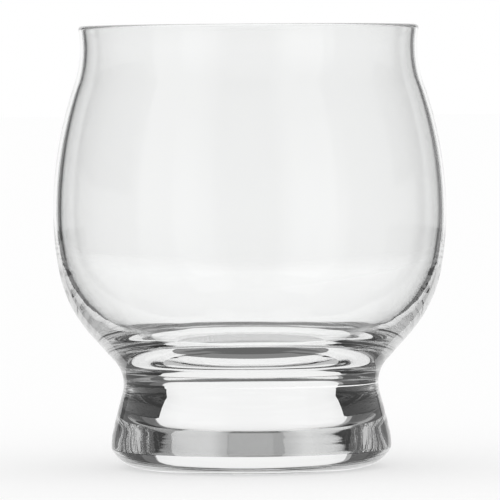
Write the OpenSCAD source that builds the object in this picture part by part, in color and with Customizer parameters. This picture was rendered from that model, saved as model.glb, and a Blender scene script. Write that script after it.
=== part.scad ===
// Footed rocks glass, turned about +Z. The origin is the middle of the ring it stands on.
// Two pieces of clear glass: a blown bowl with a flared lip and a thick floor, and a
// pressed solid foot with a shallow hollow underneath. They are welded at the waist.

/* [Overall] */
// Height from the table to the top of the rim
overall_h = 100; // [88:1:124]

/* [Lip] */
// Outside diameter at the neck, the narrow place just below the rim
neck_d = 76.3; // [70:0.1:84]
// Height of the rim above the neck
lip_h = 5.1; // [3:0.1:9]
// Radius of the outward flare at the neck
lip_r = 23.8; // [16:0.1:32]
// Wall thickness at the lip
lip_wall = 1.5; // [1.2:0.1:2.4]

/* [Belly] */
// Outside diameter at the belly, the widest place
belly_d = 89; // [86:0.5:106.5]
// Height of the belly above the table
belly_z = 57.6; // [54:0.1:65]
// Wall thickness at the belly
belly_wall = 1.75; // [1.3:0.05:2.6]
// Radius of the curve just below the belly
belly_r = 72; // [60:1:90]
// Angle that the curve just below the belly turns through
belly_sweep = 10; // [5:0.5:13]
// Length of the straight undercut between the hip and the waist
undercut_len = 7.6; // [2:0.1:12]

/* [Inside] */
// Height of the middle of the inside floor above the table
floor_z = 25.2; // [21.5:0.1:30]
// Radius of the dished inside floor
floor_r = 600; // [120:10:1200]
// Radius of the corner between the inside floor and the wall
corner_r = 26.5; // [16:0.5:30]
// Radius of the inside wall between the belly and the corner
inside_r = 55; // [45:0.5:70]

/* [Waist] */
// Diameter at the waist, where the bowl and the foot are welded
waist_d = 57.8; // [46:0.1:60]
// Height of the waist above the table
waist_z = 19; // [16:0.1:22]
// Radius of the hollow curve around the waist
waist_r = 7.8; // [4:0.1:10]

/* [Foot] */
// Diameter of the foot at its widest ring
foot_d = 63.5; // [62:0.1:78]
// Height of the widest ring above the table
foot_z = 4.7; // [3.5:0.1:7]
// Length of the straight flare between the waist and the rounded heel
flare_len = 7.6; // [2:0.1:10]
// Drop from the widest ring to the crease where the bevel starts
crease_drop = 0.4; // [0.3:0.1:1.5]
// Radius that softens the crease
crease_r = 0.4; // [0.1:0.1:0.8]
// Outside diameter of the ring that the glass stands on
stand_d = 49.3; // [44:0.1:54]
// Width of the ring that the glass stands on
stand_w = 3; // [1.5:0.1:6]
// Depth of the hollow under the foot
punt_h = 2.2; // [0.6:0.1:5]

/* [Hidden] */
glass_tint = [0.80, 0.88, 0.90, 0.45];
// Largest gap between a curve and the straight steps that draw it
curve_error = 0.02;
// Steps around the axis
$fn = 180;

// Outside of the bowl, from the waist up to the rim
waist = [waist_d / 2, waist_z];
waist_c = waist + [waist_r, 0];
belly = [belly_d / 2, belly_z];
belly_c = belly - [belly_r, 0];
hip_dir = heading(-belly_sweep);
hip_top = belly_c + belly_r * hip_dir;
hip_r = hip_radius(hip_top - waist_c);
hip_c = hip_top - hip_r * hip_dir;
undercut_dir = heading(slant(hip_c, waist_c) + spread(hip_c, hip_r, waist_c, waist_r));
undercut_top = hip_c + hip_r * undercut_dir;
undercut_low = waist_c - waist_r * undercut_dir;
neck = [neck_d / 2, overall_h - lip_h];
lip_c = neck + [lip_r, 0];
shoulder_r = bulge_radius(belly, lip_c, lip_r);
shoulder_c = belly - [shoulder_r, 0];
flare_start = between(shoulder_c, shoulder_r, lip_c, lip_r);

// Rim, a half round that closes the wall
rim_r = lip_wall / 2;
rim_dir = heading(180 - asin((lip_h - rim_r) / (lip_r + rim_r)));
rim_c = lip_c + (lip_r + rim_r) * rim_dir;
rim_out = rim_c - rim_r * rim_dir;
rim_top = rim_c + [0, rim_r];
rim_in = rim_c + rim_r * rim_dir;

// Inside of the bowl, from the rim down to the floor
in_belly = belly - [belly_wall, 0];
in_lip_r = lip_r + lip_wall;
in_shoulder_r = bulge_radius(in_belly, lip_c, in_lip_r);
in_shoulder_c = in_belly - [in_shoulder_r, 0];
in_flare_start = between(in_shoulder_c, in_shoulder_r, lip_c, in_lip_r);
in_wall_c = in_belly - [inside_r, 0];
floor_mid = [0, floor_z];
floor_c = floor_mid + [0, floor_r];
corner_c = meet(in_wall_c, inside_r - corner_r, floor_c, floor_r - corner_r);
corner_top = in_wall_c + inside_r * unit(corner_c - in_wall_c);
corner_low = floor_c + floor_r * unit(corner_c - floor_c);

// Foot, from the hollow underneath up to the waist
stand_out = [stand_d / 2, 0];
stand_in = stand_out - [stand_w, 0];
punt_mid = [0, punt_h];
punt_c = punt_mid - [0, rise_radius(stand_in.x, punt_h)];
heel = [foot_d / 2, foot_z];
heel_r = heel_radius(heel - waist);
heel_c = heel - [heel_r, 0];
crease = heel_c + [sqrt(pow(heel_r, 2) - pow(crease_drop, 2)), -crease_drop];
bevel_r = rise_radius(crease.x - stand_out.x, crease.y);
bevel_c = stand_out + [0, bevel_r];
crease_c = meet(heel_c, heel_r - crease_r, bevel_c, bevel_r - crease_r);
crease_low = bevel_c + bevel_r * unit(crease_c - bevel_c);
crease_top = heel_c + heel_r * unit(crease_c - heel_c);
foot_dir = heading(slant(heel_c, waist_c) - spread(heel_c, heel_r, waist_c, waist_r));
foot_flare_low = heel_c + heel_r * foot_dir;
foot_flare_top = waist_c - waist_r * foot_dir;
weld_mid = [0, waist_z];

// Unit vector at an angle from the radial direction
function heading(angle) = [cos(angle), sin(angle)];

// Unit vector along v
function unit(v) = v / norm(v);

// Angle of the line from one centre to another
function slant(from, to) = atan2(to.y - from.y, to.x - from.x);

// Angle between the line of centres and the line that crosses between two circles
function spread(c1, r1, c2, r2) = acos((r1 + r2) / norm(c2 - c1));

// Point where two circles touch from outside
function between(c1, r1, c2, r2) = c1 + (c2 - c1) * r1 / (r1 + r2);

// Radius of the arc that leaves point p upright and touches circle c, r from outside
function bulge_radius(p, c, r) =
    (pow(norm(c - p), 2) - pow(r, 2)) / (2 * (r - c.x + p.x));

// Radius of the hip that keeps the straight undercut at its given length
function hip_radius(v) =
    (pow(norm(v), 2) - pow(waist_r, 2) - pow(undercut_len, 2)) / (2 * (v * hip_dir + waist_r));

// Radius of the heel that keeps the straight flare at its given length
function heel_radius(v) = (pow(norm(v), 2) - pow(flare_len, 2)) / (2 * v.x) - waist_r;

// Radius of the arc that starts level and rises by h over a run
function rise_radius(run, h) = (pow(run, 2) + pow(h, 2)) / (2 * h);

// Outer meeting point of two circles about c1 and c2
function meet(c1, r1, c2, r2) =
    let (
        gap = norm(c2 - c1),
        along = unit(c2 - c1),
        reach = (pow(r1, 2) - pow(r2, 2) + pow(gap, 2)) / (2 * gap)
    )
    c1 + reach * along + sqrt(pow(r1, 2) - pow(reach, 2)) * [along.y, -along.x];

// Points of the arc about c from p up to, but not including, q
function arc(c, p, q) =
    let (
        u = p - c,
        v = q - c,
        r = norm(u),
        sweep = atan2(u.x * v.y - u.y * v.x, u * v),
        steps = ceil(abs(sweep) / (2 * acos(1 - curve_error / r)))
    )
    [for (i = [0 : steps - 1]) c + r * heading(slant(c, p) + sweep * i / steps)];

// Blown bowl: flared lip, thin belly wall, thick dished floor and undercut down to the waist
module bowl() {
    outside = concat(
        arc(waist_c, waist, undercut_low),
        [undercut_low],
        arc(hip_c, undercut_top, hip_top),
        arc(belly_c, hip_top, belly),
        arc(shoulder_c, belly, flare_start),
        arc(lip_c, flare_start, neck),
        arc(lip_c, neck, rim_out)
    );
    rim = concat(arc(rim_c, rim_out, rim_top), arc(rim_c, rim_top, rim_in));
    inside = concat(
        arc(lip_c, rim_in, in_flare_start),
        arc(in_shoulder_c, in_flare_start, in_belly),
        arc(in_wall_c, in_belly, corner_top),
        arc(corner_c, corner_top, corner_low),
        arc(floor_c, corner_low, floor_mid),
        [floor_mid]
    );
    color(glass_tint)
        rotate_extrude()
            polygon(concat([weld_mid], outside, rim, inside));
}

// Pressed foot: solid glass with a flared side, a rounded heel, a bevel and a hollow underside
module foot() {
    underside = concat(arc(punt_c, punt_mid, stand_in), [stand_in]);
    side = concat(
        arc(bevel_c, stand_out, crease_low),
        arc(crease_c, crease_low, crease_top),
        arc(heel_c, crease_top, heel),
        arc(heel_c, heel, foot_flare_low),
        [foot_flare_low],
        arc(waist_c, foot_flare_top, waist),
        [waist]
    );
    color(glass_tint)
        rotate_extrude()
            polygon(concat(underside, side, [weld_mid]));
}

bowl();
foot();
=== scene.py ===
"""A clear footed rocks glass on a plain pale floor, in soft studio light.

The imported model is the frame. The bowl and the foot are turned about the axis of the glass from the
arcs of their half sections, and each stands for the CAD node of the same piece. Section sizes are in
millimetres, as on a drawing, and everything in the scene is in metres.
"""

import logging
import math
from dataclasses import dataclass, field
from enum import Enum

import bpy
from mathutils import Matrix, Vector


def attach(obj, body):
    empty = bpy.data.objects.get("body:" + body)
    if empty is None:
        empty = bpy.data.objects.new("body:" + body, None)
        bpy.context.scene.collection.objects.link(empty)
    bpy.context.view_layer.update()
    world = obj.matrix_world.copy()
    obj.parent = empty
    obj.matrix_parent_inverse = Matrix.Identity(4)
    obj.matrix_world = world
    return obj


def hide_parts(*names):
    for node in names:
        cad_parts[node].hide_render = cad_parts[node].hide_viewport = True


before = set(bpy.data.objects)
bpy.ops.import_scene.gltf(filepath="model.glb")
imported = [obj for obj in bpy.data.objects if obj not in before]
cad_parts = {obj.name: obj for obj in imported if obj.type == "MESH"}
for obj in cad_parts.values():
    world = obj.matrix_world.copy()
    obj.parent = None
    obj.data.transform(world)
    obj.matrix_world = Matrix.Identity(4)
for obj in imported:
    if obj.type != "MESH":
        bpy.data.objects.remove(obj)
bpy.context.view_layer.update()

MM = 0.001
HALF_STEP = 0.5
BODY = "root"

log = logging.getLogger("rocks_glass")


class Piece(Enum):
    """The two pieces of the glass, by the CAD node that each stands for."""

    BOWL = "bowl"
    FOOT = "foot"


class Ray(Enum):
    """What the studio asks of a ray: its kind, or how often the glass has mirrored it or let it pass."""

    CAMERA = "Is Camera Ray"
    DIFFUSE = "Is Diffuse Ray"
    MIRRORED = "Glossy Depth"
    PASSED = "Transmission Depth"


class Limit(Enum):
    """How a whole number is compared with a limit, and the half step that keeps the two apart."""

    AT_LEAST = ("GREATER_THAN", -HALF_STEP)
    AT_MOST = ("LESS_THAN", HALF_STEP)


class Ease(Enum):
    """How a value runs from one end of its range to the other."""

    STRAIGHT = "LINEAR"
    SOFT = "SMOOTHSTEP"


def heading(angle: float) -> Vector:
    """Gives the unit vector at an angle from the radial direction.

    Args:
        angle: Angle in degrees, positive upwards.

    Returns:
        The unit vector, as radius and height.
    """
    turn = math.radians(angle)
    return Vector((math.cos(turn), math.sin(turn)))


def slant(start: Vector, end: Vector) -> float:
    """Gives the angle of the line from one centre to another.

    Args:
        start: First centre.
        end: Second centre.

    Returns:
        The angle in degrees from the radial direction.
    """
    run = end - start
    return math.degrees(math.atan2(run.y, run.x))


def spread(c1: Vector, r1: float, c2: Vector, r2: float) -> float:
    """Gives the angle between the line of centres and the line that crosses between two circles.

    Args:
        c1: First centre.
        r1: First radius.
        c2: Second centre.
        r2: Second radius.

    Returns:
        The angle in degrees.
    """
    return math.degrees(math.acos((r1 + r2) / (c2 - c1).length))


def touch(c1: Vector, r1: float, c2: Vector, r2: float) -> Vector:
    """Gives the point where two circles touch from outside.

    Args:
        c1: First centre.
        r1: First radius.
        c2: Second centre.
        r2: Second radius.

    Returns:
        The point between them.
    """
    return c1 + (c2 - c1) * r1 / (r1 + r2)


def meet(c1: Vector, r1: float, c2: Vector, r2: float) -> Vector:
    """Gives the outer of the two points where two circles cross.

    Args:
        c1: First centre.
        r1: First radius.
        c2: Second centre.
        r2: Second radius.

    Returns:
        The crossing point on the right of the line from the first centre to the second.
    """
    gap = (c2 - c1).length
    along = (c2 - c1).normalized()
    reach = (r1**2 - r2**2 + gap**2) / (2 * gap)
    across = Vector((along.y, -along.x))
    return c1 + along * reach + across * math.sqrt(r1**2 - reach**2)


def bulge_radius(point: Vector, centre: Vector, radius: float) -> float:
    """Gives the radius of the arc that leaves a point upright and touches a circle from outside.

    Args:
        point: Where the arc leaves upright.
        centre: Centre of the circle.
        radius: Radius of the circle.

    Returns:
        The radius of the arc.
    """
    run = centre - point
    return (run.length_squared - radius**2) / (2 * (radius - run.x))


def rise_radius(run: float, rise: float) -> float:
    """Gives the radius of the arc that starts level and rises over a run.

    Args:
        run: Level distance.
        rise: Height gained.

    Returns:
        The radius of the arc.
    """
    return (run**2 + rise**2) / (2 * rise)


@dataclass
class Section:
    """Half section of a turned piece, drawn from the axis round to the axis again.

    Attributes:
        longest_step: Longest straight step along it, in millimetres.
        widest_turn: Widest turn from one step of an arc to the next, in degrees.
        points: Its points so far, as radius and height in millimetres.
        on_weld: Whether each point lies on the weld.
    """

    longest_step: float = 0.62
    widest_turn: float = 4.0
    points: list[Vector] = field(default_factory=list)
    on_weld: list[bool] = field(default_factory=list)

    def start(self, point: Vector, weld: bool = False) -> None:
        """Puts the first point down.

        Args:
            point: Radius and height in millimetres.
            weld: True if it lies on the weld.
        """
        self.points.append(point.copy())
        self.on_weld.append(weld)

    def line(self, end: Vector, weld: bool = False) -> None:
        """Draws a straight run from the last point.

        Args:
            end: Where the run ends.
            weld: True if the run lies on the weld.
        """
        begin = self.points[-1]
        steps = 1 if weld else max(1, math.ceil((end - begin).length / self.longest_step))
        for step in range(1, steps + 1):
            self.start(begin.lerp(end, step / steps), weld)

    def arc(self, centre: Vector, end: Vector) -> None:
        """Draws an arc from the last point.

        Args:
            centre: Centre of the arc.
            end: Where the arc ends.
        """
        u = self.points[-1] - centre
        v = end - centre
        radius = u.length
        sweep = math.atan2(u.x * v.y - u.y * v.x, u.dot(v))
        by_step = abs(sweep) * radius / self.longest_step
        by_turn = math.degrees(abs(sweep)) / self.widest_turn
        steps = max(2, math.ceil(max(by_step, by_turn)))
        begin = math.degrees(math.atan2(u.y, u.x))
        for step in range(1, steps + 1):
            self.start(centre + radius * heading(begin + math.degrees(sweep) * step / steps))

    def mesh(self, name: str) -> bpy.types.Mesh:
        """Makes the section a chain of edges in the XZ plane, in metres.

        Args:
            name: Name of the mesh.

        Returns:
            The mesh, with the weld flag as a point attribute.
        """
        chain = bpy.data.meshes.new(name)
        corners = [(max(p.x, 0.0) * MM, 0.0, p.y * MM) for p in self.points]
        chain.from_pydata(corners, [(i, i + 1) for i in range(len(corners) - 1)], [])
        flags = chain.attributes.new(TurningTree.WELD, "FLOAT", "POINT")
        flags.data.foreach_set("value", [float(flag) for flag in self.on_weld])
        return chain


class TurningTree:
    """Geometry Nodes tree that turns a half section about the upright axis into a closed skin."""

    WELD = "weld"
    STEPS = "Steps around"
    CREASE = "Crease angle"
    GLASS = "Glass"
    SEAM = "Weld seam"
    SEAM_GAP = 1e-6
    ALL_WELD = 0.99

    def __init__(self) -> None:
        """Builds the tree and keeps the identifier of each input."""
        self.tree = bpy.data.node_groups.new("turn_half_section", "GeometryNodeTree")
        self.sockets: dict[str, str] = {}
        self._declare()
        self._wire()

    def _declare(self) -> None:
        """Names the inputs and the output."""
        face = self.tree.interface
        face.new_socket("Half section", in_out="INPUT", socket_type="NodeSocketGeometry")
        kinds = {
            self.STEPS: "NodeSocketInt",
            self.CREASE: "NodeSocketFloat",
            self.GLASS: "NodeSocketMaterial",
            self.SEAM: "NodeSocketMaterial",
        }
        for name, kind in kinds.items():
            socket = face.new_socket(name, in_out="INPUT", socket_type=kind)
            self.sockets[name] = socket.identifier
        face.new_socket("Skin", in_out="OUTPUT", socket_type="NodeSocketGeometry")

    def _node(self, kind: str, **settings: object) -> bpy.types.Node:
        """Adds a node.

        Args:
            kind: Node type.
            settings: Properties to set on it.

        Returns:
            The node.
        """
        node = self.tree.nodes.new(kind)
        for key, value in settings.items():
            setattr(node, key, value)
        return node

    def _math(self, operation: str, *inputs: bpy.types.NodeSocket | float) -> bpy.types.NodeSocket:
        """Adds a math node.

        Args:
            operation: What it works out.
            inputs: Sockets or plain numbers.

        Returns:
            Its output.
        """
        node = self._node("ShaderNodeMath", operation=operation)
        for socket, value in zip(node.inputs, inputs):
            feed(self.tree, value, socket)
        return node.outputs[0]

    def _sample(self, chain: bpy.types.NodeSocket, value: bpy.types.NodeSocket, kind: str,
                index: bpy.types.NodeSocket) -> bpy.types.NodeSocket:
        """Reads a value at a point of the half section.

        Args:
            chain: The half section.
            value: The field to read.
            kind: Its data type.
            index: Which point.

        Returns:
            The value there.
        """
        node = self._node("GeometryNodeSampleIndex", data_type=kind, domain="POINT")
        self.tree.links.new(chain, node.inputs["Geometry"])
        self.tree.links.new(value, node.inputs["Value"])
        self.tree.links.new(index, node.inputs["Index"])
        return node.outputs[0]

    def _wire(self) -> None:
        """Lays a grid round the axis, closes it, shades it and gives it its materials."""
        link = self.tree.links.new
        given = self._node("NodeGroupInput").outputs
        chain = given["Half section"]
        size = self._node("GeometryNodeAttributeDomainSize", component="MESH")
        link(chain, size.inputs[0])
        count = size.outputs["Point Count"]
        grid = self._node("GeometryNodeMeshGrid")
        link(self._math("ADD", given[self.STEPS], 1), grid.inputs["Vertices X"])
        link(count, grid.inputs["Vertices Y"])

        index = self._node("GeometryNodeInputIndex").outputs[0]
        column = self._math("FLOOR", self._math("DIVIDE", self._math("ADD", index, HALF_STEP), count))
        row = self._math("SUBTRACT", index, self._math("MULTIPLY", column, count))
        angle = self._math("DIVIDE", self._math("MULTIPLY", column, math.tau), given[self.STEPS])
        place = self._node("GeometryNodeInputPosition").outputs[0]
        split = self._node("ShaderNodeSeparateXYZ")
        link(self._sample(chain, place, "FLOAT_VECTOR", row), split.inputs[0])
        turned = self._node("ShaderNodeCombineXYZ")
        link(self._math("MULTIPLY", split.outputs["X"], self._math("COSINE", angle)), turned.inputs["X"])
        link(self._math("MULTIPLY", split.outputs["X"], self._math("SINE", angle)), turned.inputs["Y"])
        link(split.outputs["Z"], turned.inputs["Z"])

        flag = self._node("GeometryNodeInputNamedAttribute", data_type="FLOAT")
        flag.inputs["Name"].default_value = self.WELD
        keep = self._node("GeometryNodeStoreNamedAttribute", data_type="FLOAT", domain="POINT")
        keep.inputs["Name"].default_value = self.WELD
        link(grid.outputs["Mesh"], keep.inputs["Geometry"])
        link(self._sample(chain, flag.outputs[0], "FLOAT", row), keep.inputs["Value"])

        wrap = self._node("GeometryNodeSetPosition")
        link(keep.outputs[0], wrap.inputs["Geometry"])
        link(turned.outputs[0], wrap.inputs["Position"])
        close = self._node("GeometryNodeMergeByDistance")
        close.inputs["Distance"].default_value = self.SEAM_GAP
        link(wrap.outputs[0], close.inputs["Geometry"])

        smooth = self._node("GeometryNodeSetShadeSmooth", domain="FACE")
        link(close.outputs[0], smooth.inputs["Geometry"])
        corner = self._node("GeometryNodeInputMeshEdgeAngle")
        sharp = self._node("GeometryNodeSetShadeSmooth", domain="EDGE")
        sharp.inputs["Shade Smooth"].default_value = False
        link(smooth.outputs[0], sharp.inputs["Geometry"])
        link(self._math("GREATER_THAN", corner.outputs[0], given[self.CREASE]), sharp.inputs["Selection"])

        real = self._node("GeometryNodeRealizeInstances")
        link(sharp.outputs[0], real.inputs[0])
        glass = self._node("GeometryNodeSetMaterial")
        link(real.outputs[0], glass.inputs["Geometry"])
        link(given[self.GLASS], glass.inputs["Material"])
        welded = self._node("GeometryNodeInputNamedAttribute", data_type="FLOAT")
        welded.inputs["Name"].default_value = self.WELD
        seam = self._node("GeometryNodeSetMaterial")
        link(glass.outputs[0], seam.inputs["Geometry"])
        link(given[self.SEAM], seam.inputs["Material"])
        link(self._math("GREATER_THAN", welded.outputs[0], self.ALL_WELD), seam.inputs["Selection"])
        out = self._node("NodeGroupOutput")
        link(seam.outputs[0], out.inputs[0])

    def turn(self, name: str, section: Section, values: dict[str, object]) -> bpy.types.Object:
        """Turns a half section into a plain mesh object at the origin.

        Args:
            name: Name of the piece.
            section: Its half section.
            values: What each named input takes.

        Returns:
            The finished object, with no modifier left on it.
        """
        scene = bpy.context.scene
        draft = bpy.data.objects.new(name + "_section", section.mesh(name + "_section"))
        scene.collection.objects.link(draft)
        modifier = draft.modifiers.new("turn", "NODES")
        modifier.node_group = self.tree
        for label, value in values.items():
            modifier[self.sockets[label]] = value
        graph = bpy.context.evaluated_depsgraph_get()
        skin = bpy.data.meshes.new_from_object(draft.evaluated_get(graph), depsgraph=graph)
        skin.name = name
        skin.attributes.remove(skin.attributes[self.WELD])
        chain = draft.data
        bpy.data.objects.remove(draft)
        bpy.data.meshes.remove(chain)
        piece = bpy.data.objects.new(name, skin)
        scene.collection.objects.link(piece)
        return piece


def blank_material(name: str) -> tuple[bpy.types.Material, bpy.types.NodeTree, bpy.types.NodeSocket]:
    """Makes a node material that holds only its output.

    Args:
        name: Name of the material.

    Returns:
        The material, its node tree and the surface input of its output.
    """
    made = bpy.data.materials.new(name)
    made.use_nodes = True
    tree = made.node_tree
    tree.nodes.clear()
    return made, tree, tree.nodes.new("ShaderNodeOutputMaterial").inputs["Surface"]


def feed(tree: bpy.types.NodeTree, value: bpy.types.NodeSocket | float,
         socket: bpy.types.NodeSocket) -> None:
    """Gives an input its value.

    Args:
        tree: Node tree to work in.
        value: An output to link, or a plain number to set.
        socket: The input.
    """
    if isinstance(value, (int, float)):
        socket.default_value = value
    else:
        tree.links.new(value, socket)


def times(tree: bpy.types.NodeTree, first: bpy.types.NodeSocket,
          second: bpy.types.NodeSocket | float) -> bpy.types.NodeSocket:
    """Multiplies a value by another.

    Args:
        tree: Node tree to work in.
        first: The value.
        second: The other value, or a plain number.

    Returns:
        Their product.
    """
    both = tree.nodes.new("ShaderNodeMath")
    both.operation = "MULTIPLY"
    tree.links.new(first, both.inputs[0])
    feed(tree, second, both.inputs[1])
    return both.outputs[0]


def remap(tree: bpy.types.NodeTree, value: bpy.types.NodeSocket, source: tuple[float, float],
          target: tuple[float, float], ease: Ease = Ease.STRAIGHT) -> bpy.types.NodeSocket:
    """Maps a value from one range onto another, and keeps it inside.

    Args:
        tree: Node tree to work in.
        value: The value.
        source: The two ends of its range.
        target: What it becomes at each end.
        ease: How it runs between them.

    Returns:
        The mapped value.
    """
    mapped = tree.nodes.new("ShaderNodeMapRange")
    mapped.interpolation_type = ease.value
    for end, start, become in zip(("Min", "Max"), source, target):
        mapped.inputs[f"From {end}"].default_value = start
        mapped.inputs[f"To {end}"].default_value = become
    tree.links.new(value, mapped.inputs["Value"])
    return mapped.outputs[0]


@dataclass(frozen=True)
class ClearGlass:
    """Fire-polished clear glass with the faint rings and swirls that pressing and turning leave.

    Attributes:
        name: Name of the material.
        tint: Colour that each passage leaves.
        ior: Index of refraction.
        ring_pitch: Height between the faint rings, in metres.
        ring_length: Length of a ring before it fades into the next, in metres.
        swirl_size: Size of the broad swirls, in metres.
        ring_depth: Depth of the rings in thick glass, in metres.
        ring_detail: Octaves of finer noise in the rings.
        swirl_depth: Depth of the swirls in thick glass, in metres.
        swirl_detail: Octaves of finer noise in the swirls.
        thick_z: Heights where the thick glass ends and where the thin wall begins, in metres.
        thin_share: Share of the rings and swirls that the thin wall keeps.
        wipe_size: Size of the wiping haze, in metres.
        wipe_detail: Octaves of finer noise in the haze.
        wipe_band: Noise at which the haze begins and at which it is full.
        polish: Least and greatest roughness.
    """

    name: str
    tint: tuple[float, float, float, float] = (0.992, 0.996, 0.994, 1.0)
    ior: float = 1.5
    ring_pitch: float = 0.0024
    ring_length: float = 0.040
    swirl_size: float = 0.011
    ring_depth: float = 1.0e-5
    ring_detail: float = 2.0
    swirl_depth: float = 4.0e-5
    swirl_detail: float = 1.0
    thick_z: tuple[float, float] = (0.036, 0.058)
    thin_share: float = 0.12
    wipe_size: float = 0.006
    wipe_detail: float = 3.0
    wipe_band: tuple[float, float] = (0.35, 0.75)
    polish: tuple[float, float] = (0.0, 0.008)

    def material(self) -> bpy.types.Material:
        """Builds the node material.

        Returns:
            The material.
        """
        made, tree, surface = blank_material(self.name)
        skin = tree.nodes.new("ShaderNodeBsdfPrincipled")
        skin.inputs["Base Color"].default_value = self.tint
        skin.inputs["Transmission Weight"].default_value = 1.0
        skin.inputs["IOR"].default_value = self.ior
        tree.links.new(skin.outputs[0], surface)
        place = tree.nodes.new("ShaderNodeTexCoord").outputs["Object"]
        haze = self._noise(tree, place, (1 / self.wipe_size,) * 3, self.wipe_detail)
        tree.links.new(remap(tree, haze, self.wipe_band, self.polish), skin.inputs["Roughness"])
        tree.links.new(self._waves(tree, place), skin.inputs["Normal"])
        return made

    def _waves(self, tree: bpy.types.NodeTree, place: bpy.types.NodeSocket) -> bpy.types.NodeSocket:
        """Adds the rings and the swirls, of which the thin wall keeps a share.

        Args:
            tree: Node tree of the material.
            place: Object coordinates.

        Returns:
            The normal that they leave.
        """
        height = tree.nodes.new("ShaderNodeSeparateXYZ")
        tree.links.new(place, height.inputs[0])
        share = remap(tree, height.outputs["Z"], self.thick_z, (1.0, self.thin_share), Ease.SOFT)
        along = 1 / self.ring_length
        rings = self._noise(tree, place, (along, along, 1 / self.ring_pitch), self.ring_detail)
        swirls = self._noise(tree, place, (1 / self.swirl_size,) * 3, self.swirl_detail)
        normal = None
        for wave, depth in ((rings, self.ring_depth), (swirls, self.swirl_depth)):
            bump = tree.nodes.new("ShaderNodeBump")
            bump.inputs["Strength"].default_value = 1.0
            bump.inputs["Distance"].default_value = depth
            tree.links.new(times(tree, wave, share), bump.inputs["Height"])
            if normal is not None:
                tree.links.new(normal, bump.inputs["Normal"])
            normal = bump.outputs[0]
        return normal

    def _noise(self, tree: bpy.types.NodeTree, place: bpy.types.NodeSocket,
               scale: tuple[float, float, float], detail: float) -> bpy.types.NodeSocket:
        """Adds a noise that is fixed to the piece.

        Args:
            tree: Node tree of the material.
            place: Object coordinates.
            scale: Features per metre along each axis.
            detail: Octaves of finer noise.

        Returns:
            The noise, from 0 to 1.
        """
        stretch = tree.nodes.new("ShaderNodeMapping")
        stretch.inputs["Scale"].default_value = scale
        tree.links.new(place, stretch.inputs["Vector"])
        noise = tree.nodes.new("ShaderNodeTexNoise")
        noise.inputs["Scale"].default_value = 1.0
        noise.inputs["Detail"].default_value = detail
        tree.links.new(stretch.outputs[0], noise.inputs["Vector"])
        return noise.outputs[0]


@dataclass(frozen=True)
class WeldSeam:
    """The weld between bowl and foot: solid glass on both sides, so it shows nothing.

    Attributes:
        name: Name of the material.
    """

    name: str = "weld_seam"

    def material(self) -> bpy.types.Material:
        """Builds the node material.

        Returns:
            The material.
        """
        made, tree, surface = blank_material(self.name)
        tree.links.new(tree.nodes.new("ShaderNodeBsdfTransparent").outputs[0], surface)
        return made


@dataclass
class Waist:
    """The waist, where the bowl and the foot are welded.

    Attributes:
        diameter: Diameter at the waist.
        height: Height of the waist above the table.
        radius: Radius of the hollow curve around it.
    """

    diameter: float = 57.8
    height: float = 19.0
    radius: float = 7.8

    @property
    def point(self) -> Vector:
        """The waist on the outside."""
        return Vector((self.diameter / 2, self.height))

    @property
    def centre(self) -> Vector:
        """Centre of the hollow curve."""
        return self.point + Vector((self.radius, 0))

    @property
    def middle(self) -> Vector:
        """The weld on the axis."""
        return Vector((0, self.height))


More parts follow.
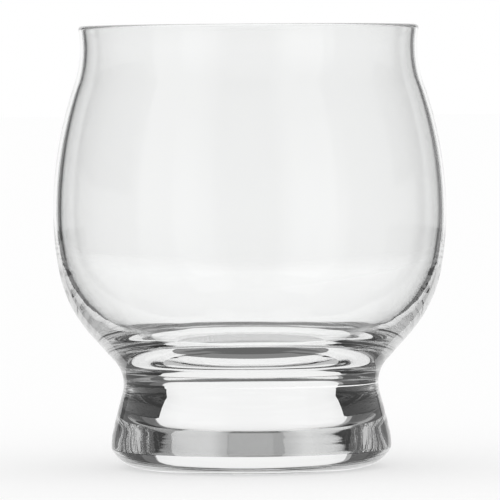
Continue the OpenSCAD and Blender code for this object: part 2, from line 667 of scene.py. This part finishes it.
@dataclass
class GlassBowl:
    """Blown bowl: flared lip, thin belly wall, thick floor and undercut down to the waist.

    Attributes:
        waist: The waist that it shares with the foot.
        height: Height of the rim above the table.
        neck_d: Outside diameter at the neck below the rim.
        lip_h: Height of the rim above the neck.
        lip_r: Radius of the outward flare.
        lip_wall: Wall thickness at the lip.
        belly_d: Outside diameter at the belly.
        belly_z: Height of the belly above the table.
        belly_wall: Wall thickness at the belly.
        belly_r: Radius of the curve just below the belly.
        belly_sweep: Angle that this curve turns through.
        undercut_len: Length of the straight undercut.
        floor_z: Height of the middle of the inside floor.
        floor_r: Radius of the dished inside floor.
        corner_r: Radius of the corner between floor and wall.
        inside_r: Radius of the inside wall below the belly.
        steps: Steps around the axis.
        crease: Angle above which an edge stays crisp, in degrees.
    """

    waist: Waist
    height: float = 100.0
    neck_d: float = 76.3
    lip_h: float = 5.1
    lip_r: float = 23.8
    lip_wall: float = 1.5
    belly_d: float = 89.0
    belly_z: float = 57.6
    belly_wall: float = 1.75
    belly_r: float = 72.0
    belly_sweep: float = 10.0
    undercut_len: float = 7.6
    floor_z: float = 25.2
    floor_r: float = 600.0
    corner_r: float = 26.5
    inside_r: float = 55.0
    steps: int = 224
    crease: float = 9.0

    def section(self) -> Section:
        """Draws the half section from the weld over the rim to the inside floor.

        Returns:
            The half section.
        """
        waist = self.waist
        belly = Vector((self.belly_d / 2, self.belly_z))
        lip_c = Vector((self.neck_d / 2 + self.lip_r, self.height - self.lip_h))
        drawn = Section()
        drawn.start(waist.middle, weld=True)
        drawn.line(waist.point, weld=True)
        self._undercut(drawn, belly)
        shoulder_r = bulge_radius(belly, lip_c, self.lip_r)
        shoulder_c = belly - Vector((shoulder_r, 0))
        drawn.arc(shoulder_c, touch(shoulder_c, shoulder_r, lip_c, self.lip_r))
        self._rim(drawn, lip_c)
        self._inside(drawn, belly, lip_c)
        return drawn

    def _undercut(self, drawn: Section, belly: Vector) -> None:
        """Draws the outside from the waist up to the belly.

        Args:
            drawn: The section so far.
            belly: The belly on the outside.
        """
        waist = self.waist
        belly_c = belly - Vector((self.belly_r, 0))
        hip_dir = heading(-self.belly_sweep)
        hip_top = belly_c + self.belly_r * hip_dir
        run = hip_top - waist.centre
        spare = run.length_squared - waist.radius**2 - self.undercut_len**2
        hip_r = spare / (2 * (run.dot(hip_dir) + waist.radius))
        hip_c = hip_top - hip_r * hip_dir
        lean = slant(hip_c, waist.centre) + spread(hip_c, hip_r, waist.centre, waist.radius)
        drawn.arc(waist.centre, waist.centre - waist.radius * heading(lean))
        drawn.line(hip_c + hip_r * heading(lean))
        drawn.arc(hip_c, hip_top)
        drawn.arc(belly_c, belly)

    def _rim(self, drawn: Section, lip_c: Vector) -> None:
        """Draws the flare and the half round of the rim.

        Args:
            drawn: The section so far.
            lip_c: Centre of the flare.
        """
        rim_r = self.lip_wall / 2
        reach = self.lip_r + rim_r
        rim_dir = heading(180 - math.degrees(math.asin((self.lip_h - rim_r) / reach)))
        rim_c = lip_c + reach * rim_dir
        top = rim_c + Vector((0, rim_r))
        drawn.arc(lip_c, rim_c - rim_r * rim_dir)
        drawn.arc(rim_c, top)
        drawn.arc(rim_c, rim_c + rim_r * rim_dir)

    def _inside(self, drawn: Section, belly: Vector, lip_c: Vector) -> None:
        """Draws the inside from the rim down to the middle of the floor.

        Args:
            drawn: The section so far.
            belly: The belly on the outside.
            lip_c: Centre of the flare.
        """
        belly_in = belly - Vector((self.belly_wall, 0))
        flare_r = self.lip_r + self.lip_wall
        shoulder_r = bulge_radius(belly_in, lip_c, flare_r)
        shoulder_c = belly_in - Vector((shoulder_r, 0))
        wall_c = belly_in - Vector((self.inside_r, 0))
        floor_c = Vector((0, self.floor_z + self.floor_r))
        corner_c = meet(wall_c, self.inside_r - self.corner_r, floor_c, self.floor_r - self.corner_r)
        drawn.arc(lip_c, touch(shoulder_c, shoulder_r, lip_c, flare_r))
        drawn.arc(shoulder_c, belly_in)
        drawn.arc(wall_c, wall_c + self.inside_r * (corner_c - wall_c).normalized())
        drawn.arc(corner_c, floor_c + self.floor_r * (corner_c - floor_c).normalized())
        drawn.arc(floor_c, Vector((0, self.floor_z)))

    def build(self, tree: TurningTree, glass: bpy.types.Material,
              seam: bpy.types.Material) -> bpy.types.Object:
        """Turns the bowl and dresses it.

        Args:
            tree: The turning tree.
            glass: Finish of the glass.
            seam: Finish of the weld.

        Returns:
            The finished bowl.
        """
        return turn_piece(tree, Piece.BOWL, self.section(), self.steps, self.crease, glass, seam)


@dataclass
class GlassFoot:
    """Pressed solid foot: flared side, rounded heel, bevel, standing ring and hollow underside.

    Attributes:
        waist: The waist that it shares with the bowl.
        foot_d: Diameter at the widest ring.
        foot_z: Height of the widest ring above the table.
        flare_len: Length of the straight flare between waist and heel.
        crease_drop: Drop from the widest ring to the crease.
        crease_r: Radius that softens the crease.
        stand_d: Outside diameter of the standing ring.
        stand_w: Width of the standing ring.
        punt_h: Depth of the hollow underneath.
        steps: Steps around the axis.
        crease: Angle above which an edge stays crisp, in degrees.
    """

    waist: Waist
    foot_d: float = 63.5
    foot_z: float = 4.7
    flare_len: float = 7.6
    crease_drop: float = 0.4
    crease_r: float = 0.4
    stand_d: float = 49.3
    stand_w: float = 3.0
    punt_h: float = 2.2
    steps: int = 224
    crease: float = 9.0

    def section(self) -> Section:
        """Draws the half section from the hollow underneath round the heel to the weld.

        Returns:
            The half section.
        """
        waist = self.waist
        stand_out = Vector((self.stand_d / 2, 0))
        stand_in = stand_out - Vector((self.stand_w, 0))
        heel = Vector((self.foot_d / 2, self.foot_z))
        run = heel - waist.point
        heel_r = (run.length_squared - self.flare_len**2) / (2 * run.x) - waist.radius
        heel_c = heel - Vector((heel_r, 0))
        crease = heel_c + Vector((math.sqrt(heel_r**2 - self.crease_drop**2), -self.crease_drop))
        bevel_r = rise_radius(crease.x - stand_out.x, crease.y)
        bevel_c = stand_out + Vector((0, bevel_r))
        soft_c = meet(heel_c, heel_r - self.crease_r, bevel_c, bevel_r - self.crease_r)
        lean = slant(heel_c, waist.centre) - spread(heel_c, heel_r, waist.centre, waist.radius)
        drawn = Section()
        drawn.start(Vector((0, self.punt_h)))
        drawn.arc(Vector((0, self.punt_h - rise_radius(stand_in.x, self.punt_h))), stand_in)
        drawn.line(stand_out)
        drawn.arc(bevel_c, bevel_c + bevel_r * (soft_c - bevel_c).normalized())
        drawn.arc(soft_c, heel_c + heel_r * (soft_c - heel_c).normalized())
        drawn.arc(heel_c, heel_c + heel_r * heading(lean))
        drawn.line(waist.centre - waist.radius * heading(lean))
        drawn.arc(waist.centre, waist.point)
        drawn.on_weld[-1] = True
        drawn.line(waist.middle, weld=True)
        return drawn

    def build(self, tree: TurningTree, glass: bpy.types.Material,
              seam: bpy.types.Material) -> bpy.types.Object:
        """Turns the foot and dresses it.

        Args:
            tree: The turning tree.
            glass: Finish of the glass.
            seam: Finish of the weld.

        Returns:
            The finished foot.
        """
        return turn_piece(tree, Piece.FOOT, self.section(), self.steps, self.crease, glass, seam)


def turn_piece(tree: TurningTree, piece: Piece, section: Section, steps: int, crease: float,
               glass: bpy.types.Material, seam: bpy.types.Material) -> bpy.types.Object:
    """Turns a piece and gives it its place in the frame.

    Args:
        tree: The turning tree.
        piece: Which piece it is.
        section: Its half section.
        steps: Steps around the axis.
        crease: Angle above which an edge stays crisp, in degrees.
        glass: Finish of the glass.
        seam: Finish of the weld.

    Returns:
        The piece, riding on its body and standing for its node.
    """
    values = {
        TurningTree.STEPS: steps,
        TurningTree.CREASE: math.radians(crease),
        TurningTree.GLASS: glass,
        TurningTree.SEAM: seam,
    }
    made = tree.turn(f"{piece.value}_glass", section, values)
    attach(made, BODY)
    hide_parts(piece.value)
    return made


def pick_rays(tree: bpy.types.NodeTree, ray: Ray, limit: Limit, count: int) -> bpy.types.NodeSocket:
    """Picks rays by how often the glass has mirrored them or let them pass.

    Args:
        tree: Node tree of the light.
        ray: Which of the two is counted.
        limit: How it is compared with the count.
        count: The count.

    Returns:
        1 for the picked rays and 0 for the others.
    """
    operation, half_step = limit.value
    picked = tree.nodes.new("ShaderNodeMath")
    picked.operation = operation
    picked.inputs[1].default_value = count + half_step
    tree.links.new(tree.nodes.new("ShaderNodeLightPath").outputs[ray.value], picked.inputs[0])
    return picked.outputs[0]


@dataclass(frozen=True)
class Glow:
    """Grey to white light of a card, which may fade towards its edges into what stands behind it.

    Attributes:
        level: How bright it is, where 1 is white.
        sides: Shares of it that are left at its two sides, the one with the smaller azimuth first.
        ends: Shares of it that are left at its lower or near end and at its upper or far end.
        even: Share of its half size that does not fade.
        mirrors: Most times that the glass may have mirrored a ray that it shows to.
        skins: Fewest skins of glass that a ray has to pass before it shows.
    """

    level: float
    sides: tuple[float, float] = (1.0, 1.0)
    ends: tuple[float, float] = (1.0, 1.0)
    even: float = 0.3
    mirrors: int = 32
    skins: int = 0

    def stage(self, name: str, corners: list[tuple[float, float, float]]) -> bpy.types.Object:
        """Stages a four-cornered card that only the rays out of the glass meet.

        Args:
            name: Name of the card.
            corners: Its corners, the first two along one end.

        Returns:
            The staged card.
        """
        sheet = bpy.data.meshes.new(name)
        sheet.from_pydata(corners, [], [(0, 1, 2, 3)])
        for mark, values in (("across", (-1, 1, 1, -1)), ("along", (-1, -1, 1, 1))):
            sheet.attributes.new(mark, "FLOAT", "POINT").data.foreach_set("value", values)
        sheet.materials.append(self._material(name))
        card = bpy.data.objects.new(name, sheet)
        bpy.context.scene.collection.objects.link(card)
        card.visible_camera = False
        card.visible_diffuse = False
        card.visible_shadow = False
        return card

    def _material(self, name: str) -> bpy.types.Material:
        """Builds the light.

        Args:
            name: Name of the material.

        Returns:
            The material.
        """
        made, tree, surface = blank_material(name)
        light = tree.nodes.new("ShaderNodeEmission")
        light.inputs["Strength"].default_value = self.level
        cover = times(tree, self._fade(tree, "across", self.sides), self._fade(tree, "along", self.ends))
        cover = times(tree, cover, pick_rays(tree, Ray.MIRRORED, Limit.AT_MOST, self.mirrors))
        cover = times(tree, cover, pick_rays(tree, Ray.PASSED, Limit.AT_LEAST, self.skins))
        mix = tree.nodes.new("ShaderNodeMixShader")
        tree.links.new(cover, mix.inputs["Fac"])
        tree.links.new(tree.nodes.new("ShaderNodeBsdfTransparent").outputs[0], mix.inputs[1])
        tree.links.new(light.outputs[0], mix.inputs[2])
        tree.links.new(mix.outputs[0], surface)
        return made

    def _fade(self, tree: bpy.types.NodeTree, mark: str, edges: tuple[float, float]) -> bpy.types.NodeSocket:
        """Adds the fading in one direction.

        Args:
            tree: Node tree of the material.
            mark: Name of the place in that direction, from -1 to 1.
            edges: Shares that are left at -1 and at 1.

        Returns:
            The share at each place.
        """
        place = tree.nodes.new("ShaderNodeAttribute")
        place.attribute_name = mark
        low, high = (
            remap(tree, place.outputs["Fac"], (side * self.even, side), (1.0, left), Ease.SOFT)
            for side, left in zip((-1, 1), edges)
        )
        return times(tree, low, high)


@dataclass(frozen=True)
class Card:
    """An upright card or softbox that the glass shows.

    Attributes:
        name: Name of the card.
        azimuth: Direction from the glass in degrees, 0 straight behind it and 90 to its right.
        distance: Distance from the axis of the glass, in metres.
        half_width: Half of its width, in metres.
        low: Height of its lower edge, in metres.
        high: Height of its upper edge, in metres.
        glow: Its light.
    """

    name: str
    azimuth: float
    distance: float
    half_width: float
    low: float
    high: float
    glow: Glow

    def build(self) -> bpy.types.Object:
        """Stands the card up.

        Returns:
            The card.
        """
        out = heading(90 - self.azimuth) * self.distance
        side = heading(-self.azimuth) * self.half_width
        left, right = out - side, out + side
        return self.glow.stage(self.name, [
            (*left, self.low), (*right, self.low), (*right, self.high), (*left, self.high),
        ])


@dataclass(frozen=True)
class TableCard:
    """A card that lies on the table and that the glass shows.

    Attributes:
        name: Name of the card.
        azimuth: Direction from the glass in degrees, 0 straight behind it and 90 to its right.
        near: Distance of its near edge from the axis of the glass, in metres.
        far: Distance of its far edge, in metres.
        half_width: Half of its width, in metres.
        glow: Its light.
        drop: Depth below the floor's top, in metres.
    """

    name: str
    azimuth: float
    near: float
    far: float
    half_width: float
    glow: Glow
    drop: float = 0.0001

    def build(self) -> bpy.types.Object:
        """Lays the card down.

        Returns:
            The card.
        """
        out = heading(90 - self.azimuth)
        side = heading(-self.azimuth) * self.half_width
        near, far = out * self.near, out * self.far
        return self.glow.stage(self.name, [
            (*corner, -self.drop) for corner in (near - side, near + side, far + side, far - side)
        ])


@dataclass
class Studio:
    """Pale floor, white surroundings and the cards that the glass shows.

    Attributes:
        cards: Backdrop, softboxes, dark flags and table cards around the glass.
        floor_half: Half of the floor's side, in metres.
        floor_drop: Gap between the floor and the standing ring, in metres.
        floor_colour: How much light the floor gives back.
        floor_lift: White that the camera sees added to it.
        sky: Brightness that the glass shows at each elevation in degrees.
        deep_mirrors: How often a ray is mirrored inside the glass before the sky dims.
        deep_share: Share of the sky that such a ray shows.
        edge_mirrors: How often a ray is mirrored that runs round in the edge of the glass.
        edge_level: Brightness that such a ray shows.
    """

    cards: tuple[Card | TableCard, ...] = (
        Card("backdrop", 0, 0.5, 0.285, -0.59, 0.4, Glow(0.96, sides=(0.9, 0.9), even=0.7)),
        Card("backdrop_low", 0, 0.5, 0.285, -1.07, -0.59, Glow(0.25)),
        Card("top_light", 0, 0.5, 0.11, 0.4, 0.8, Glow(0.6, sides=(0.6, 0.6), ends=(1.0, 0.5), even=0.5)),
        Card("flag_right_near", 32.5, 0.32, 0.022, 0.03, 0.213, Glow(0.14)),
        Card("flag_left", -36.5, 0.32, 0.034, 0.03, 0.4, Glow(0.1)),
        Card("flag_right", 53, 0.322, 0.098, 0.03, 0.213, Glow(0.05, mirrors=0)),
        Card("wall_left", -56, 0.322, 0.08, 0.03, 0.22, Glow(0.05, mirrors=0)),
        Card("flag_right_low", 49, 0.318, 0.125, -0.25, 0.03, Glow(0.02, mirrors=3, skins=2)),
        Card("flag_left_low", -49, 0.318, 0.125, -0.25, 0.03, Glow(0.02, mirrors=3, skins=2)),
        Card("softbox_right", 147, 0.6, 0.195, -0.25, 0.9,
             Glow(0.72, sides=(1.0, 0.4), ends=(0.2, 1.0), mirrors=2)),
        Card("softbox_left", -136, 0.6, 0.255, -0.25, 0.9,
             Glow(0.8, sides=(0.4, 1.0), ends=(0.2, 1.0), mirrors=2)),
        Card("side_panel", -90, 0.6, 0.3, -0.25, 0.4,
             Glow(1.0, sides=(0.0, 0.0), ends=(0.0, 0.0), even=0.4, mirrors=0)),
        Card("flag_right_far", 82, 0.318, 0.07, -0.25, 0.03, Glow(0.02, mirrors=3, skins=2)),
        TableCard("table_left", -45, 0.16, 0.6, 0.36,
                  Glow(1.06, sides=(0.0, 0.0), ends=(1.0, 0.0), even=0.4, mirrors=0)),
        TableCard("table_front", 135, 0.16, 0.9, 0.4,
                  Glow(1.06, sides=(0.0, 0.0), ends=(1.0, 0.0), even=0.4, mirrors=0)),
        TableCard("table_under", 0, -0.5, 0.5, 0.5,
                  Glow(1.06, sides=(0.0, 0.0), ends=(0.0, 0.0), even=0.5, mirrors=0, skins=4), drop=0.0002),
    )
    floor_half: float = 12.0
    floor_drop: float = 0.00005
    floor_colour: float = 0.42
    floor_lift: float = 0.58
    sky: tuple[tuple[float, float], ...] = (
        (-90, 0.12), (-40, 0.15), (-15, 0.28), (0, 0.4), (34, 0.4), (40, 0.12), (90, 0.12),
    )
    deep_mirrors: int = 3
    deep_share: float = 0.2
    edge_mirrors: int = 12
    edge_level: float = 0.55

    def build(self) -> None:
        """Lays the floor, stands the cards up and lights the world."""
        self._floor()
        for card in self.cards:
            card.build()
            log.info("card %s at level %.2f", card.name, card.glow.level)
        self._world()

    def _floor(self) -> None:
        """Lays the floor, which keeps the shadow and shows white to the camera."""
        half, top = self.floor_half, -self.floor_drop
        corners = [(-half, -half, top), (half, -half, top), (half, half, top), (-half, half, top)]
        sheet = bpy.data.meshes.new("floor")
        sheet.from_pydata(corners, [], [(0, 1, 2, 3)])
        made, tree, surface = blank_material("pale_floor")
        paper = tree.nodes.new("ShaderNodeBsdfDiffuse")
        paper.inputs["Color"].default_value = (*(self.floor_colour,) * 3, 1)
        lift = tree.nodes.new("ShaderNodeEmission")
        seen = tree.nodes.new("ShaderNodeLightPath").outputs[Ray.CAMERA.value]
        tree.links.new(times(tree, seen, self.floor_lift), lift.inputs["Strength"])
        both = tree.nodes.new("ShaderNodeAddShader")
        tree.links.new(paper.outputs[0], both.inputs[0])
        tree.links.new(lift.outputs[0], both.inputs[1])
        tree.links.new(both.outputs[0], surface)
        sheet.materials.append(made)
        floor = bpy.data.objects.new("floor", sheet)
        bpy.context.scene.collection.objects.link(floor)
        floor.visible_transmission = False
        floor.visible_glossy = False

    def _world(self) -> None:
        """Makes the surroundings white to the camera and the floor, and shaded by height to the glass."""
        world = bpy.data.worlds.new("studio")
        bpy.context.scene.world = world
        world.use_nodes = True
        tree = world.node_tree
        tree.nodes.clear()
        out = tree.nodes.new("ShaderNodeOutputWorld")
        glow = tree.nodes.new("ShaderNodeBackground")
        glow.inputs["Color"].default_value = (1, 1, 1, 1)
        tree.links.new(glow.outputs[0], out.inputs["Surface"])
        path = tree.nodes.new("ShaderNodeLightPath")
        sky = self._sky(tree)
        deep = pick_rays(tree, Ray.MIRRORED, Limit.AT_LEAST, self.deep_mirrors)
        edge = pick_rays(tree, Ray.MIRRORED, Limit.AT_LEAST, self.edge_mirrors)
        level = self._swap(tree, deep, sky, times(tree, sky, self.deep_share))
        level = self._swap(tree, edge, level, self.edge_level)
        for ray in (Ray.DIFFUSE, Ray.CAMERA):
            level = self._swap(tree, path.outputs[ray.value], level, 1.0)
        tree.links.new(level, glow.inputs["Strength"])

    def _swap(self, tree: bpy.types.NodeTree, picked: bpy.types.NodeSocket, first: bpy.types.NodeSocket,
              second: bpy.types.NodeSocket | float) -> bpy.types.NodeSocket:
        """Shows another brightness to the picked rays.

        Args:
            tree: Node tree of the world.
            picked: 1 for those rays and 0 for the others.
            first: Brightness for the others.
            second: Brightness for the picked rays.

        Returns:
            The brightness for all rays.
        """
        mix = tree.nodes.new("ShaderNodeMix")
        mix.data_type = "FLOAT"
        tree.links.new(picked, mix.inputs["Factor"])
        tree.links.new(first, mix.inputs["A"])
        feed(tree, second, mix.inputs["B"])
        return mix.outputs[0]

    def _sky(self, tree: bpy.types.NodeTree) -> bpy.types.NodeSocket:
        """Shades the surroundings by elevation.

        Args:
            tree: Node tree of the world.

        Returns:
            The brightness in each direction.
        """
        split = tree.nodes.new("ShaderNodeSeparateXYZ")
        tree.links.new(tree.nodes.new("ShaderNodeTexCoord").outputs["Generated"], split.inputs[0])
        rise = tree.nodes.new("ShaderNodeMath")
        rise.operation = "ARCSINE"
        tree.links.new(split.outputs["Z"], rise.inputs[0])
        share = remap(tree, rise.outputs[0], (-math.pi / 2, math.pi / 2), (0.0, 1.0))
        ramp = tree.nodes.new("ShaderNodeValToRGB")
        tree.links.new(share, ramp.inputs["Fac"])
        stops = ramp.color_ramp.elements
        while len(stops) < len(self.sky):
            stops.new(0.5)
        for stop, (elevation, level) in zip(stops, self.sky):
            stop.position = (elevation + 90) / 180
            stop.color = (level, level, level, 1)
        return ramp.outputs["Color"]


@dataclass
class PhotoCamera:
    """Camera at the photograph's viewing angle.

    Attributes:
        distance: Distance in front of the glass, in metres.
        height: Height above the table, in metres.
        aim: Height of the point that it looks at, in metres.
        roll: Lean of the picture in degrees.
        lens: Focal length on the sensor, in millimetres.
        sensor: Width of the sensor, in millimetres.
        far: Farthest distance seen, in metres.
    """

    distance: float = 1.18
    height: float = 0.0874
    aim: float = 0.0491
    roll: float = -0.43
    lens: float = 375.0
    sensor: float = 36.0
    far: float = 100.0

    def build(self) -> bpy.types.Object:
        """Sets the camera up.

        Returns:
            The camera.
        """
        data = bpy.data.cameras.new("photo_camera")
        data.lens = self.lens
        data.sensor_width = self.sensor
        data.clip_end = self.far
        camera = bpy.data.objects.new("photo_camera", data)
        scene = bpy.context.scene
        scene.collection.objects.link(camera)
        eye = Vector((0, -self.distance, self.height))
        look = (Vector((0, 0, self.aim)) - eye).to_track_quat("-Z", "Y").to_matrix().to_4x4()
        lean = Matrix.Rotation(math.radians(self.roll), 4, "Z")
        camera.matrix_world = Matrix.Translation(eye) @ look @ lean
        scene.camera = camera
        return camera


def set_light_paths(scene: bpy.types.Scene, bounces: int = 96) -> None:
    """Lets light pass as many surfaces of clear glass as it meets.

    Args:
        scene: The scene.
        bounces: Most surfaces that a ray may meet.
    """
    scene.cycles.max_bounces = bounces
    scene.cycles.transmission_bounces = bounces
    scene.cycles.glossy_bounces = bounces
    scene.cycles.transparent_max_bounces = bounces


def main() -> None:
    """Builds the camera, the studio and the two pieces in order."""
    logging.basicConfig(level=logging.INFO, format="%(name)s: %(message)s")
    scene = bpy.context.scene
    scene.view_settings.view_transform = "Standard"
    set_light_paths(scene)
    PhotoCamera().build()
    Studio().build()
    tree = TurningTree()
    seam = WeldSeam().material()
    waist = Waist()
    pieces = (
        (GlassBowl(waist), ClearGlass("bowl_clear_glass")),
        (GlassFoot(waist), ClearGlass("foot_clear_glass")),
    )
    for piece, finish in pieces:
        made = piece.build(tree, finish.material(), seam)
        log.info("%s: %d faces", made.name, len(made.data.polygons))


if __name__ == "__main__":
    main()
